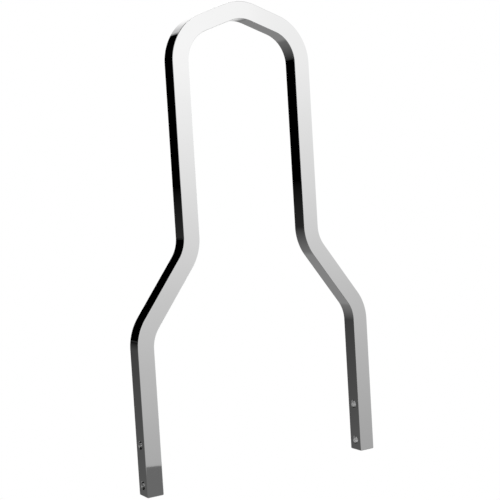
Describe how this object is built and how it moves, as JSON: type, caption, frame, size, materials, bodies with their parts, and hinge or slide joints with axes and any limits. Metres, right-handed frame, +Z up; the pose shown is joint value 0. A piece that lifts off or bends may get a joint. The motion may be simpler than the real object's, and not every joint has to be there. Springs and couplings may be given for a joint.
{
  "type": "motorcycle sissy bar",
  "caption": "Bent square-bar sissy bar hoop with a low peaked top and two bolt holes near the end of each leg.",
  "frame": {"origin": "midway between the square-cut ends of the two legs, at the middle of the bar's depth", "axes": "+X from the left leg to the right leg, Y through the bar's depth with the side seen in the picture at -Y, +Z up from the leg ends to the peak"},
  "size_m": [0.1986, 0.0128, 0.3467],
  "materials": {
    "chrome_plate": "bright polished chrome plate on solid steel bar"
  },
  "bodies": {
    "root": {"bent_bar": "chrome_plate"}
  },
  "joints": []
}
